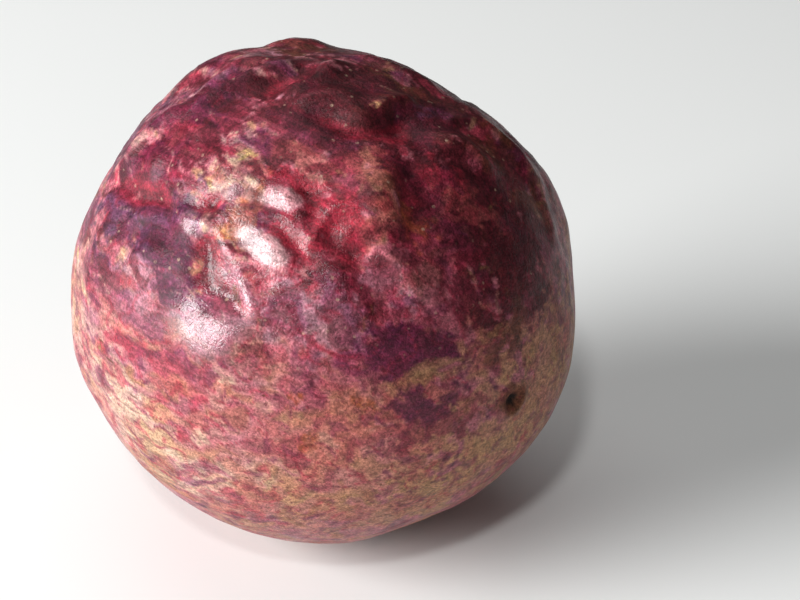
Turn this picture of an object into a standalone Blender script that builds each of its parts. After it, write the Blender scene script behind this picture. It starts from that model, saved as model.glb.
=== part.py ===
"""A ripe purple passion fruit lying on its side, its rind dried and crumpled over the top.

The fruit grew as one piece, so it is one closed solid: a slightly long ball whose radius is a
formula of direction. Folds, creases, facets, lumps and hollows raise and lower the rind, shallow
dimples crumple the dried crown, and a plane cuts the small flat spot it rests on.

Run with: blender --background --python part.py
"""

from collections import namedtuple
from math import cos, pi, radians, sin, tan

import bmesh
import bpy
import numpy as np
from mathutils import Vector, noise

MM = 0.001

# Driving dimensions, in millimetres and degrees.
BODY_RADIUS = 27.3  # mean radius of the ball
LENGTHENING = 0.8  # how far each end of the fruit stands out past the mean radius
FLAT_SPOT_RADIUS = 4.2  # the spot that the fruit rests on
FACE_TILT = 30.0  # the face drawing looks down on the front of the fruit at this angle
STYLE_END = (19.0, -10.5)  # where the dried style left its scar, on the face drawing
CREST_SOFTNESS = 0.45  # the radius left on the crest of a fold
FLANK_POWER = 1.35  # 1 makes the flanks of a fold flat, more makes them hollow
LUMP_FLATNESS = 1.4  # 1 makes a round lump, more makes it flatter on top with steeper sides
FACET_FLATNESS = 1.8  # the same for facets
FADE = 0.38  # the share of a fold's length over which each end sinks into the rind
WANDER = (0.7, 4.5)  # folds stray from their arcs by up to this much, with bends this far apart
CRUMPLING = 7  # seeds the noise: which of many ways to stray and crumple this fruit has
noise.seed_set(CRUMPLING)
ARC_STEPS = 12  # straight steps along the arc of a fold
CROWN = (-12.0, 78.0)  # azimuth and elevation of the middle of the dried crown
CROWN_EDGE = (50.0, 76.0)  # the crumpling fades out between these angles from that middle
CROWN_RAGGED = (9.0, 12.0)  # that edge wanders by degrees, with bends this many millimetres apart

# The mesh: squares along each edge of the cube that is blown up into the ball, how much closer
# together they are gathered over the folds, and where on the face drawing.
SQUARES = 31
CUT_TOLERANCE = 0.00005  # in metres: points this near the plane of the flat spot are put on it
GATHER = 1.6
GATHER_POINT = (-1.0, 13.0)

# A fold is a ridge (rise over 0) or a crease (rise under 0) along an arc. The arc starts at a
# point, heads off at an angle anticlockwise from the x of its map, and turns evenly on the way,
# by turn degrees in all. Left and right are how far from the arc, in millimetres, the fold falls
# to about two fifths of its rise on each side, seen from outside along it.
Fold = namedtuple("Fold", "name rise left right start heading length turn")
# A lump (rise over 0) or hollow (rise under 0) is an oval. Heading turns its long way
# anticlockwise from the map's x.
Lump = namedtuple("Lump", "name rise along across heading centre")
# A facet is an oval where the rind dried flat and leans over: it sinks on the side that tilt
# faces, and stands up on the other. Tilt and facing are in degrees.
Facet = namedtuple("Facet", "name tilt facing along across heading centre")

# The front's map is the face drawing: x to the right and y up it, in millimetres from its middle.
FACE_FOLDS = (
    # The dried crown, from the left skyline to the right.
    Fold("left outer ridge", 1.1, 1.2, 1.4, (-22.5, 11.5), 52, 15, -25),
    Fold("left skyline ridge", 0.9, 1.0, 1.2, (-14.5, 20.5), 35, 13, -30),
    Fold("long crown ridge", 1.2, 1.0, 1.1, (-16, 16.5), 40, 19, -25),
    Fold("crown valley", -1.0, 1.2, 1.2, (-8, 21), 20, 10, -15),
    Fold("middle crown ridge", 1.2, 1.1, 0.9, (-6, 20.5), 20, 11, 5),
    Fold("tongue", 1.1, 1.8, 1.0, (-5, 20.5), -5, 13, -20),
    Fold("valley under the tongue", -0.8, 1.4, 1.2, (-3, 19), -20, 16, 30),
    Fold("tongue side", 0.9, 1.2, 1.2, (4.5, 18), 50, 6.5, -70),
    Fold("right skyline ridge", 0.6, 1.0, 1.2, (2, 26), -10, 12, -30),
    Fold("right shoulder ridge", 1.1, 1.3, 1.2, (11.5, 21), -25, 17, -35),
    Fold("right drape ridge", 0.7, 1.4, 1.0, (8, 18.5), -30, 13, -5),
    Fold("right pleat", 0.4, 0.8, 0.8, (12, 19), -30, 3.5, 60),
    Fold("right brow", 0.4, 1.0, 0.9, (9, 14.5), 5, 9, -20),
    Fold("right limb ridge", 0.35, 0.9, 0.9, (20.5, 14.5), -55, 12, -30),
    # The left side.
    Fold("left cross crease", -0.8, 1.5, 1.2, (-23, 11.5), -10, 9.5, -15),
    Fold("left limb fold", 0.4, 1.2, 1.2, (-22, 10), -105, 12, 0),
    Fold("left rumple 1", 0.5, 0.8, 0.8, (-21, 7.5), 20, 5.5, -20),
    Fold("left rumple 2", 0.5, 0.8, 0.8, (-20, 4), 35, 5, 0),
    Fold("left rumple 3", 0.5, 0.8, 0.8, (-19, 11.5), 60, 5, -20),
    Fold("forehead rumple 1", 0.45, 0.8, 0.8, (-13, 14), 10, 7, -20),
    Fold("forehead rumple 2", 0.45, 0.8, 0.8, (-13.5, 16), 50, 4.5, 0),
    Fold("left valley", -0.9, 1.2, 1.5, (-14, 8), -58, 11, -10),
    Fold("hook crease", -0.8, 1.0, 1.0, (-15, 9), -25, 6.5, 110),
    Fold("hook lip", 0.8, 0.8, 1.5, (-15.5, 8.5), -20, 5.5, 40),
    # The creases between the facets in the middle, from the lowest to the highest.
    Fold("pillow crease", -0.6, 0.8, 0.8, (-10.2, 1.5), -65, 5, -10),
    Fold("inner crease", -0.4, 0.9, 0.9, (-8.5, 3.5), -50, 5, 0),
    Fold("main crease", -0.5, 0.6, 0.6, (-8, 7.4), -14, 9.5, -30),
    Fold("upper crease", -0.7, 0.8, 0.7, (-3.2, 10.8), -10, 6.5, -110),
    # Right of them, the cheek and the dish below it.
    Fold("middle ridge", 0.6, 1.1, 1.1, (-0.5, 4), 85, 6.5, -35),
    Fold("middle crease", -0.8, 1.3, 1.5, (1, 9), -85, 8.5, 40),
    Fold("cheek ridge", 0.9, 0.9, 3.0, (6, 14.5), -70, 10, -35),
    Fold("dish rim", 0.8, 1.0, 1.6, (3.5, 5.5), -30, 10, -20),
)

FACE_FACETS = (
    Facet("pillow facet", 14, 130, 3.8, 3.3, -40, (-10.9, -2.7)),
    Facet("low facet", 13, 172, 2.9, 1.1, -52, (-8.4, 1.0)),
    Facet("main facet", 18, 194, 3.6, 1.6, -30, (-6.0, 4.8)),
    Facet("upper facet", 24, 212, 2.8, 1.3, -12, (-4.2, 9.5)),
    Facet("hook facet", 12, 257, 2.0, 1.1, -35, (-13.2, 7.3)),
)

FACE_LUMPS = (
    Lump("violet dip", -0.8, 5.5, 3.2, -10, (-18.5, 8)),
    Lump("left pillow", 0.6, 5, 4, -10, (-11.5, -4.5)),
    Lump("cheek", 0.7, 4.5, 3, 60, (4, 8.5)),
    Lump("dish", -0.7, 3.2, 2.4, -40, (6, 1)),
    Lump("hollow under the crown", -0.5, 4, 2.5, -20, (8.5, 17.5)),
    Lump("hollow right of the cheek", -0.6, 5, 3.5, 80, (9.5, 9.5)),
    Lump("right brow lump", 0.5, 3, 2, -20, (12.5, 11.5)),
    Lump("right cheek lump", 0.4, 2.5, 2, 0, (11, 6)),
    Lump("left forehead lump", 0.4, 2, 2, 60, (-9, 12)),
    Lump("right forehead lump", 0.4, 2, 2, 40, (-6, 12)),
    # The outline.
    Lump("skyline peak", 1.2, 3.5, 3.5, 0, (-3, 27)),
    Lump("skyline shoulder", 1.4, 6, 4, 30, (-11, 24.5)),
    Lump("skyline notch", -0.8, 2.5, 4, -35, (15, 22.5)),
    Lump("skyline dip", -0.5, 5, 6, -30, (13.5, 23.5)),
    Lump("left dip", -1.2, 5.5, 5, 60, (-24, 13)),
    Lump("right bulge", 0.8, 4, 7, 25, (24.5, 11)),
    Lump("lower right swell", 0.7, 8, 9, 0, (24.5, -10.5)),
    Lump("lower left swell", 0.4, 3.5, 4, 0, (-26, -7)),
    Lump("lower flat", -0.5, 5, 5, 0, (10, -25)),
)

# The back's map is azimuth from the front, to the right, and elevation, both in degrees, and so
# is the length of its folds.
BACK_FOLDS = (
    Fold("back ridge 1", 0.9, 1.5, 1.5, (172, 60), -155, 46, 90),
    Fold("back ridge 2", 0.9, 1.5, 1.5, (205, 58), -45, 52, 10),
    Fold("back ridge 3", 0.8, 1.4, 1.6, (124, 44), -95, 42, -35),
    Fold("back ridge 4", 0.7, 1.4, 1.4, (238, 34), -40, 28, -30),
    Fold("back cross ridge", 0.7, 1.4, 1.4, (146, 50), -10, 68, 20),
    Fold("back crease 1", -1.0, 1.5, 1.5, (182, 62), -100, 40, 30),
    Fold("back crease 2", -0.9, 1.4, 1.4, (134, 50), -120, 28, 45),
    Fold("back crease 3", -0.9, 1.4, 1.4, (232, 48), -50, 34, -10),
)

BACK_LUMPS = (
    Lump("back hollow", -1.0, 5, 3.5, 0, (160, 53)),
    Lump("back left hollow", -0.8, 4.5, 3.5, 40, (222, 50)),
    Lump("back pillow", 0.7, 4.5, 4, 0, (196, 34)),
)

# Dimples that crumple the crown: how deep, how far apart, and how far they wander.
DIMPLES = ((0.85, 8.0, 2.6), (0.40, 4.2, 1.6))
DIMPLE_RIDGE = (0.45, 1.7)  # how high their edges stand, and how soon the slope from them ends
FRONT_SHARE = 0.10  # how much of them is left on the front, where the named folds are
FRONT_EDGE = (-0.50, -0.05)  # they fade between these shares of the radius behind the middle

STYLE_SCAR = (0.55, 0.35)  # depth of the pit and height of its rim
STYLE_SCAR_RADIUS = 1.1
STEM_SCAR = (1.1, 0.5)  # the same for the hollow where the stem broke off
STEM_SCAR_RADIUS = 2.6
SCAR_RIM = (1.3, 0.55)  # how far out a scar's rim lies and how wide it is, as shares of its radius


def unit(v):
    return v / np.linalg.norm(v, axis=-1, keepdims=True)


def ramp(low, high, x):
    """0 below low, 1 above high, and a smooth rise between them."""
    t = np.clip((x - low) / (high - low), 0.0, 1.0)
    return t * t * (3.0 - 2.0 * t)


def face_axes():
    """The directions to the right, up and out of the face drawing."""
    tilt = radians(FACE_TILT)
    right = np.array((1.0, 0.0, 0.0))
    up = np.array((0.0, sin(tilt), cos(tilt)))
    out = np.array((0.0, -cos(tilt), sin(tilt)))
    return right, up, out


def face(x, y):
    """The direction from the middle of the ball of a point on the face drawing."""
    right, up, out = face_axes()
    x, y = x / BODY_RADIUS, y / BODY_RADIUS
    depth = np.sqrt(max(0.0, 1.0 - x * x - y * y))
    return unit(x * right + y * up + depth * out)


def around(azimuth, elevation):
    """The direction at an azimuth from the front, to the right, and an elevation."""
    a, e = radians(azimuth), radians(elevation)
    return np.array((sin(a) * cos(e), -cos(a) * cos(e), sin(e)))


def arc(fold):
    """Points of the map along a fold's arc."""
    angles = radians(fold.heading) + radians(fold.turn) * (np.arange(ARC_STEPS) + 0.5) / ARC_STEPS
    strides = fold.length / ARC_STEPS * np.column_stack((np.cos(angles), np.sin(angles)))
    return np.vstack((fold.start, fold.start + strides.cumsum(0)))


def wandered(d, amount, size, seed=0):
    """The directions d, each moved by smooth noise, so that what is set out on them strays."""
    away = Vector((17.3 * seed, -9.1 * seed, 5.7 * seed))
    shift = np.array([noise.noise_vector(Vector(v) * BODY_RADIUS / size + away) for v in d])
    return unit(d * BODY_RADIUS + 2.0 * amount * shift)


def fold_rise(d, fold, where):
    """How far a fold lifts the rind at each direction in d."""
    path = np.array([where(*point) for point in arc(fold)])
    start, step = path[:-1], path[1:] - path[:-1]
    length2 = (step * step).sum(1)
    along = d @ step.T - (start * step).sum(1)
    t = np.clip(along / length2, 0.0, 1.0)
    apart2 = 2.0 - 2.0 * (d @ start.T) - 2.0 * t * along + t * t * length2
    nearest = apart2.argmin(1)
    rows = np.arange(len(d))
    apart = BODY_RADIUS * np.sqrt(np.maximum(apart2[rows, nearest], 0.0))
    side = (d @ np.cross(start, path[1:]).T)[rows, nearest]
    reach = np.where(side > 0.0, fold.left, fold.right)
    place = (nearest + t[rows, nearest]) / len(step)
    fade = ramp(0.0, FADE, place) * ramp(0.0, FADE, 1.0 - place)
    apart = np.sqrt(apart**2 + CREST_SOFTNESS**2) - CREST_SOFTNESS
    return fold.rise * fade * np.maximum(0.0, 1.0 - apart / (2.0 * reach)) ** FLANK_POWER


def along_and_across(d, oval, where, flatness=LUMP_FLATNESS):
    """How far each direction in d lies along and across an oval, and 1 in it, 0 outside it."""
    centre = where(*oval.centre)
    sideways = unit(np.cross(face_axes()[1], centre))
    upwards = np.cross(centre, sideways)
    turn = radians(oval.heading)
    along = d @ (cos(turn) * sideways + sin(turn) * upwards) * BODY_RADIUS
    across = d @ (cos(turn) * upwards - sin(turn) * sideways) * BODY_RADIUS
    inside = np.exp(-(((along / oval.along) ** 2 + (across / oval.across) ** 2) ** flatness))
    return along, across, inside * (d @ centre > 0.0)


def lump_rise(d, lump, where):
    """How far a lump lifts the rind at each direction in d."""
    return lump.rise * along_and_across(d, lump, where)[2]


def facet_rise(d, facet, where):
    """How far a facet lifts or sinks the rind at each direction in d."""
    along, across, inside = along_and_across(d, facet, where, FACET_FLATNESS)
    facing = radians(facet.facing - facet.heading)
    return -tan(radians(facet.tilt)) * (along * cos(facing) + across * sin(facing)) * inside


def crown_share(d):
    """1 in the dried crown, 0 on the smooth underside."""
    middle = around(*CROWN)
    degrees, size = CROWN_RAGGED
    wander = np.array([noise.noise(Vector(v) * BODY_RADIUS / size) for v in d])
    angle = np.degrees(np.arccos(np.clip(d @ middle, -1.0, 1.0))) + degrees * wander
    return 1.0 - ramp(*CROWN_EDGE, angle)


def dimple_rise(d):
    """Shallow dimples with ridges between them, as a drying rind buckles."""
    total = np.zeros(len(d))
    edge, slope = DIMPLE_RIDGE
    for depth, spacing, wander in DIMPLES:
        for i, v in enumerate(d * BODY_RADIUS):
            bent = Vector(v) + wander * noise.noise_vector(Vector(v) / (1.6 * spacing))
            near = noise.voronoi(bent / spacing)[0]
            total[i] += depth * (edge - min(1.0, slope * (near[1] - near[0])))
    front = ramp(*FRONT_EDGE, d @ face_axes()[2])
    return total * crown_share(d) * (1.0 - (1.0 - FRONT_SHARE) * front)


def scar_rise(d, centre, radius, depth, rim):
    """A round pit with a low rim."""
    apart = BODY_RADIUS * np.arccos(np.clip(d @ centre, -1.0, 1.0)) / radius
    place, width = SCAR_RIM
    return rim * np.exp(-(((apart - place) / width) ** 2)) - depth * np.exp(-(apart**2))


def skin_radius(d):
    """The distance of the rind from the middle of the ball at each direction in d."""
    style = face(*STYLE_END)
    radius = BODY_RADIUS + LENGTHENING * ((d @ style) ** 2 - 1.0 / 3.0)
    stray = wandered(d, *WANDER)
    for fold in FACE_FOLDS:
        radius += fold_rise(stray, fold, face)
    for fold in BACK_FOLDS:
        radius += fold_rise(stray, fold, around)
    for facet in FACE_FACETS:
        radius += facet_rise(d, facet, face)
    for lump in FACE_LUMPS:
        radius += lump_rise(d, lump, face)
    for lump in BACK_LUMPS:
        radius += lump_rise(d, lump, around)
    radius += dimple_rise(d)
    radius += scar_rise(d, style, STYLE_SCAR_RADIUS, *STYLE_SCAR)
    radius += scar_rise(d, -style, STEM_SCAR_RADIUS, *STEM_SCAR)
    return radius


def middle_height():
    """How high the middle of the ball lies over the plane that cuts the flat spot."""
    lowest = skin_radius(np.array(((0.0, 0.0, -1.0),)))[0]
    return np.sqrt(lowest**2 - FLAT_SPOT_RADIUS**2)


def gathered(d):
    """The directions drawn towards the folds, to make the mesh finer there."""
    middle = face(*GATHER_POINT)
    height = d @ middle
    angle = np.arccos(np.clip(height, -1.0, 1.0))
    closer = 2.0 * np.arctan(np.tan(angle / 2.0) / GATHER)
    outward = d - height[:, None] * middle
    outward /= np.maximum(np.linalg.norm(outward, axis=1, keepdims=True), 1e-9)
    return np.cos(closer)[:, None] * middle + np.sin(closer)[:, None] * outward


def make_fruit():
    mesh = bmesh.new()
    bmesh.ops.create_cube(mesh, size=2.0)
    bmesh.ops.subdivide_edges(mesh, edges=mesh.edges[:], cuts=SQUARES - 1, use_grid_fill=True)
    cube = np.array([v.co[:] for v in mesh.verts])
    directions = gathered(unit(np.tan(cube * pi / 4.0)))
    points = directions * skin_radius(directions)[:, None]
    low, high = points.min(0), points.max(0)
    points -= np.array(((low[0] + high[0]) / 2, (low[1] + high[1]) / 2, -middle_height()))
    points *= MM
    points[np.abs(points[:, 2]) < CUT_TOLERANCE, 2] = 0.0
    for vertex, point in zip(mesh.verts, points):
        vertex.co = point
    bmesh.ops.bisect_plane(
        mesh, geom=mesh.verts[:] + mesh.edges[:] + mesh.faces[:], dist=CUT_TOLERANCE,
        plane_co=(0, 0, 0), plane_no=(0, 0, -1), clear_outer=True,
    )
    bmesh.ops.holes_fill(mesh, edges=[e for e in mesh.edges if e.is_boundary])
    bmesh.ops.recalc_face_normals(mesh, faces=mesh.faces[:])
    data = bpy.data.meshes.new("passion_fruit")
    mesh.to_mesh(data)
    mesh.free()
    data.shade_smooth()
    data.set_sharp_from_angle(angle=radians(60))
    fruit = bpy.data.objects.new("passion_fruit", data)
    bpy.context.scene.collection.objects.link(fruit)
    return fruit


def rind_material():
    material = bpy.data.materials.new("rind")
    material.use_nodes = True
    shader = material.node_tree.nodes["Principled BSDF"]
    shader.inputs["Base Color"].default_value = (0.24, 0.05, 0.07, 1.0)
    shader.inputs["Roughness"].default_value = 0.42
    shader.inputs["Metallic"].default_value = 0.0
    return material


def main():
    for thing in list(bpy.data.objects):
        bpy.data.objects.remove(thing)
    make_fruit().data.materials.append(rind_material())


main()
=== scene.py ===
"""The looks of a ripe purple passion fruit: its crumpled rind at full fineness, its colours and
scars, and the floor, lights and camera that show it.

The first half repeats the fruit's form: a long ball whose radius is a formula of direction. The
second half colours it, mostly the way such a rind ages. Broad washes give each side its ground
and noise breaks them into patches. Crests are tinted mauve or brown, partly as wear and partly
as painted sheen on the left; creases are darkened to a deep red, partly their own colour and
partly painted shade; facets are tinted pale as a painted highlight; and a short list of marks
adds spots of cork and resin, with one painted highlight on a crest. Washes add painted sheen on
a left crest and on the dish, and painted shade in the left valley. The material adds grain,
fibres and speckle.
"""

from collections import namedtuple
from math import cos, pi, radians, sin, tan

import bmesh
import bpy
import numpy as np
from mathutils import Matrix, Vector, noise


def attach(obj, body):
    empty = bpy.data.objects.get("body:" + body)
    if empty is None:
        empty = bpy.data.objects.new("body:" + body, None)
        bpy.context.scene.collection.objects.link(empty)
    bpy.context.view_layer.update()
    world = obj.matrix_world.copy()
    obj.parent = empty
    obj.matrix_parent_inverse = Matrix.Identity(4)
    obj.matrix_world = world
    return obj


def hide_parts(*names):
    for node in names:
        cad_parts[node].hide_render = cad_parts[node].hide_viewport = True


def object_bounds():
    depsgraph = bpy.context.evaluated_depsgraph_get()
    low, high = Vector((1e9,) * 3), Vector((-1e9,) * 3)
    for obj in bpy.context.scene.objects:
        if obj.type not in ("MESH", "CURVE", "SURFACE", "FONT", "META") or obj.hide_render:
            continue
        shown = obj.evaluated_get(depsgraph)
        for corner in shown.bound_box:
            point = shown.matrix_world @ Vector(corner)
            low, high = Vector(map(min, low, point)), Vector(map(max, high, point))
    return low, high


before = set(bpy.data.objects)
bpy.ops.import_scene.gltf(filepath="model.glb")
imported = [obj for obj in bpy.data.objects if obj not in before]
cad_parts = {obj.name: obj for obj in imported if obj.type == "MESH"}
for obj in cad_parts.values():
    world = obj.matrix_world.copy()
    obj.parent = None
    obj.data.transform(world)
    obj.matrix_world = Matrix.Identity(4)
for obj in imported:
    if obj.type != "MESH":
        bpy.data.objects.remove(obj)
cad_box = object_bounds()

MM = 0.001

# Driving dimensions, in millimetres and degrees.
BODY_RADIUS = 27.3  # mean radius of the ball
LENGTHENING = 0.8  # how far each end of the fruit stands out past the mean radius
FLAT_SPOT_RADIUS = 4.2  # the spot that the fruit rests on
FACE_TILT = 30.0  # the face drawing looks down on the front of the fruit at this angle
STYLE_END = (19.0, -10.5)  # where the dried style left its scar, on the face drawing
CREST_SOFTNESS = 0.45  # the radius left on the crest of a fold
FLANK_POWER = 1.35  # 1 makes the flanks of a fold flat, more makes them hollow
LUMP_FLATNESS = 1.4  # 1 makes a round lump, more makes it flatter on top with steeper sides
FACET_FLATNESS = 1.8  # the same for facets
FADE = 0.38  # the share of a fold's length over which each end sinks into the rind
WANDER = (0.7, 4.5)  # folds stray from their arcs by up to this much, with bends this far apart
CRUMPLING = 7  # seeds the noise: which of many ways to stray and crumple this fruit has
noise.seed_set(CRUMPLING)
ARC_STEPS = 12  # straight steps along the arc of a fold
CROWN = (-12.0, 78.0)  # azimuth and elevation of the middle of the dried crown
CROWN_EDGE = (50.0, 76.0)  # the crumpling fades out between these angles from that middle
CROWN_RAGGED = (9.0, 12.0)  # that edge wanders by degrees, with bends this many millimetres apart

# The mesh: how much closer together its points are gathered over the folds, and where on the
# face drawing.
CUT_TOLERANCE = 0.00005  # in metres: points this near the plane of the flat spot are put on it
GATHER = 1.6
GATHER_POINT = (-1.0, 13.0)

# A fold is a ridge (rise over 0) or a crease (rise under 0) along an arc. The arc starts at a
# point, heads off at an angle anticlockwise from the x of its map, and turns evenly on the way,
# by turn degrees in all. Left and right are how far from the arc, in millimetres, the fold falls
# to about two fifths of its rise on each side, seen from outside along it.
Fold = namedtuple("Fold", "name rise left right start heading length turn")
# A lump (rise over 0) or hollow (rise under 0) is an oval. Heading turns its long way
# anticlockwise from the map's x.
Lump = namedtuple("Lump", "name rise along across heading centre")
# A facet is an oval where the rind dried flat and leans over: it sinks on the side that tilt
# faces, and stands up on the other. Tilt and facing are in degrees.
Facet = namedtuple("Facet", "name tilt facing along across heading centre")

# The front's map is the face drawing: x to the right and y up it, in millimetres from its middle.
FACE_FOLDS = (
    # The dried crown, from the left skyline to the right.
    Fold("left outer ridge", 1.1, 1.2, 1.4, (-22.5, 11.5), 52, 15, -25),
    Fold("left skyline ridge", 0.9, 1.0, 1.2, (-14.5, 20.5), 35, 13, -30),
    Fold("long crown ridge", 1.2, 1.0, 1.1, (-16, 16.5), 40, 19, -25),
    Fold("crown valley", -1.0, 1.2, 1.2, (-8, 21), 20, 10, -15),
    Fold("middle crown ridge", 1.2, 1.1, 0.9, (-6, 20.5), 20, 11, 5),
    Fold("tongue", 1.1, 1.8, 1.0, (-5, 20.5), -5, 13, -20),
    Fold("valley under the tongue", -0.8, 1.4, 1.2, (-3, 19), -20, 16, 30),
    Fold("tongue side", 0.9, 1.2, 1.2, (4.5, 18), 50, 6.5, -70),
    Fold("right skyline ridge", 0.6, 1.0, 1.2, (2, 26), -10, 12, -30),
    Fold("right shoulder ridge", 1.1, 1.3, 1.2, (11.5, 21), -25, 17, -35),
    Fold("right drape ridge", 0.7, 1.4, 1.0, (8, 18.5), -30, 13, -5),
    Fold("right pleat", 0.4, 0.8, 0.8, (12, 19), -30, 3.5, 60),
    Fold("right brow", 0.4, 1.0, 0.9, (9, 14.5), 5, 9, -20),
    Fold("right limb ridge", 0.35, 0.9, 0.9, (20.5, 14.5), -55, 12, -30),
    # The left side.
    Fold("left cross crease", -0.8, 1.5, 1.2, (-23, 11.5), -10, 9.5, -15),
    Fold("left limb fold", 0.4, 1.2, 1.2, (-22, 10), -105, 12, 0),
    Fold("left rumple 1", 0.5, 0.8, 0.8, (-21, 7.5), 20, 5.5, -20),
    Fold("left rumple 2", 0.5, 0.8, 0.8, (-20, 4), 35, 5, 0),
    Fold("left rumple 3", 0.5, 0.8, 0.8, (-19, 11.5), 60, 5, -20),
    Fold("forehead rumple 1", 0.45, 0.8, 0.8, (-13, 14), 10, 7, -20),
    Fold("forehead rumple 2", 0.45, 0.8, 0.8, (-13.5, 16), 50, 4.5, 0),
    Fold("left valley", -0.9, 1.2, 1.5, (-14, 8), -58, 11, -10),
    Fold("hook crease", -0.8, 1.0, 1.0, (-15, 9), -25, 6.5, 110),
    Fold("hook lip", 0.8, 0.8, 1.5, (-15.5, 8.5), -20, 5.5, 40),
    # The creases between the facets in the middle, from the lowest to the highest.
    Fold("pillow crease", -0.6, 0.8, 0.8, (-10.2, 1.5), -65, 5, -10),
    Fold("inner crease", -0.4, 0.9, 0.9, (-8.5, 3.5), -50, 5, 0),
    Fold("main crease", -0.5, 0.6, 0.6, (-8, 7.4), -14, 9.5, -30),
    Fold("upper crease", -0.7, 0.8, 0.7, (-3.2, 10.8), -10, 6.5, -110),
    # Right of them, the cheek and the dish below it.
    Fold("middle ridge", 0.6, 1.1, 1.1, (-0.5, 4), 85, 6.5, -35),
    Fold("middle crease", -0.8, 1.3, 1.5, (1, 9), -85, 8.5, 40),
    Fold("cheek ridge", 0.9, 0.9, 3.0, (6, 14.5), -70, 10, -35),
    Fold("dish rim", 0.8, 1.0, 1.6, (3.5, 5.5), -30, 10, -20),
)

FACE_FACETS = (
    Facet("pillow facet", 14, 130, 3.8, 3.3, -40, (-10.9, -2.7)),
    Facet("low facet", 13, 172, 2.9, 1.1, -52, (-8.4, 1.0)),
    Facet("main facet", 18, 194, 3.6, 1.6, -30, (-6.0, 4.8)),
    Facet("upper facet", 24, 212, 2.8, 1.3, -12, (-4.2, 9.5)),
    Facet("hook facet", 12, 257, 2.0, 1.1, -35, (-13.2, 7.3)),
)

FACE_LUMPS = (
    Lump("violet dip", -0.8, 5.5, 3.2, -10, (-18.5, 8)),
    Lump("left pillow", 0.6, 5, 4, -10, (-11.5, -4.5)),
    Lump("cheek", 0.7, 4.5, 3, 60, (4, 8.5)),
    Lump("dish", -0.7, 3.2, 2.4, -40, (6, 1)),
    Lump("hollow under the crown", -0.5, 4, 2.5, -20, (8.5, 17.5)),
    Lump("hollow right of the cheek", -0.6, 5, 3.5, 80, (9.5, 9.5)),
    Lump("right brow lump", 0.5, 3, 2, -20, (12.5, 11.5)),
    Lump("right cheek lump", 0.4, 2.5, 2, 0, (11, 6)),
    Lump("left forehead lump", 0.4, 2, 2, 60, (-9, 12)),
    Lump("right forehead lump", 0.4, 2, 2, 40, (-6, 12)),
    # The outline.
    Lump("skyline peak", 1.2, 3.5, 3.5, 0, (-3, 27)),
    Lump("skyline shoulder", 1.4, 6, 4, 30, (-11, 24.5)),
    Lump("skyline notch", -0.8, 2.5, 4, -35, (15, 22.5)),
    Lump("skyline dip", -0.5, 5, 6, -30, (13.5, 23.5)),
    Lump("left dip", -1.2, 5.5, 5, 60, (-24, 13)),
    Lump("right bulge", 0.8, 4, 7, 25, (24.5, 11)),
    Lump("lower right swell", 0.7, 8, 9, 0, (24.5, -10.5)),
    Lump("lower left swell", 0.4, 3.5, 4, 0, (-26, -7)),
    Lump("lower flat", -0.5, 5, 5, 0, (10, -25)),
)

# The back's map is azimuth from the front, to the right, and elevation, both in degrees, and so
# is the length of its folds.
BACK_FOLDS = (
    Fold("back ridge 1", 0.9, 1.5, 1.5, (172, 60), -155, 46, 90),
    Fold("back ridge 2", 0.9, 1.5, 1.5, (205, 58), -45, 52, 10),
    Fold("back ridge 3", 0.8, 1.4, 1.6, (124, 44), -95, 42, -35),
    Fold("back ridge 4", 0.7, 1.4, 1.4, (238, 34), -40, 28, -30),
    Fold("back cross ridge", 0.7, 1.4, 1.4, (146, 50), -10, 68, 20),
    Fold("back crease 1", -1.0, 1.5, 1.5, (182, 62), -100, 40, 30),
    Fold("back crease 2", -0.9, 1.4, 1.4, (134, 50), -120, 28, 45),
    Fold("back crease 3", -0.9, 1.4, 1.4, (232, 48), -50, 34, -10),
)

BACK_LUMPS = (
    Lump("back hollow", -1.0, 5, 3.5, 0, (160, 53)),
    Lump("back left hollow", -0.8, 4.5, 3.5, 40, (222, 50)),
    Lump("back pillow", 0.7, 4.5, 4, 0, (196, 34)),
)

# Dimples that crumple the crown: how deep, how far apart, and how far they wander.
DIMPLES = ((0.85, 8.0, 2.6), (0.40, 4.2, 1.6))
DIMPLE_RIDGE = (0.45, 1.7)  # how high their edges stand, and how soon the slope from them ends
FRONT_SHARE = 0.10  # how much of them is left on the front, where the named folds are
FRONT_EDGE = (-0.50, -0.05)  # they fade between these shares of the radius behind the middle

STYLE_SCAR = (0.55, 0.35)  # depth of the pit and height of its rim
STYLE_SCAR_RADIUS = 1.1
STEM_SCAR = (1.1, 0.5)  # the same for the hollow where the stem broke off
STEM_SCAR_RADIUS = 2.6
SCAR_RIM = (1.3, 0.55)  # how far out a scar's rim lies and how wide it is, as shares of its radius


def unit(v):
    return v / np.linalg.norm(v, axis=-1, keepdims=True)


def ramp(low, high, x):
    """0 below low, 1 above high, and a smooth rise between them."""
    t = np.clip((x - low) / (high - low), 0.0, 1.0)
    return t * t * (3.0 - 2.0 * t)


def face_axes():
    """The directions to the right, up and out of the face drawing."""
    tilt = radians(FACE_TILT)
    right = np.array((1.0, 0.0, 0.0))
    up = np.array((0.0, sin(tilt), cos(tilt)))
    out = np.array((0.0, -cos(tilt), sin(tilt)))
    return right, up, out


def face(x, y):
    """The direction from the middle of the ball of a point on the face drawing."""
    right, up, out = face_axes()
    x, y = x / BODY_RADIUS, y / BODY_RADIUS
    depth = np.sqrt(max(0.0, 1.0 - x * x - y * y))
    return unit(x * right + y * up + depth * out)


def around(azimuth, elevation):
    """The direction at an azimuth from the front, to the right, and an elevation."""
    a, e = radians(azimuth), radians(elevation)
    return np.array((sin(a) * cos(e), -cos(a) * cos(e), sin(e)))


def arc(fold):
    """Points of the map along a fold's arc."""
    angles = radians(fold.heading) + radians(fold.turn) * (np.arange(ARC_STEPS) + 0.5) / ARC_STEPS
    strides = fold.length / ARC_STEPS * np.column_stack((np.cos(angles), np.sin(angles)))
    return np.vstack((fold.start, fold.start + strides.cumsum(0)))


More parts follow.
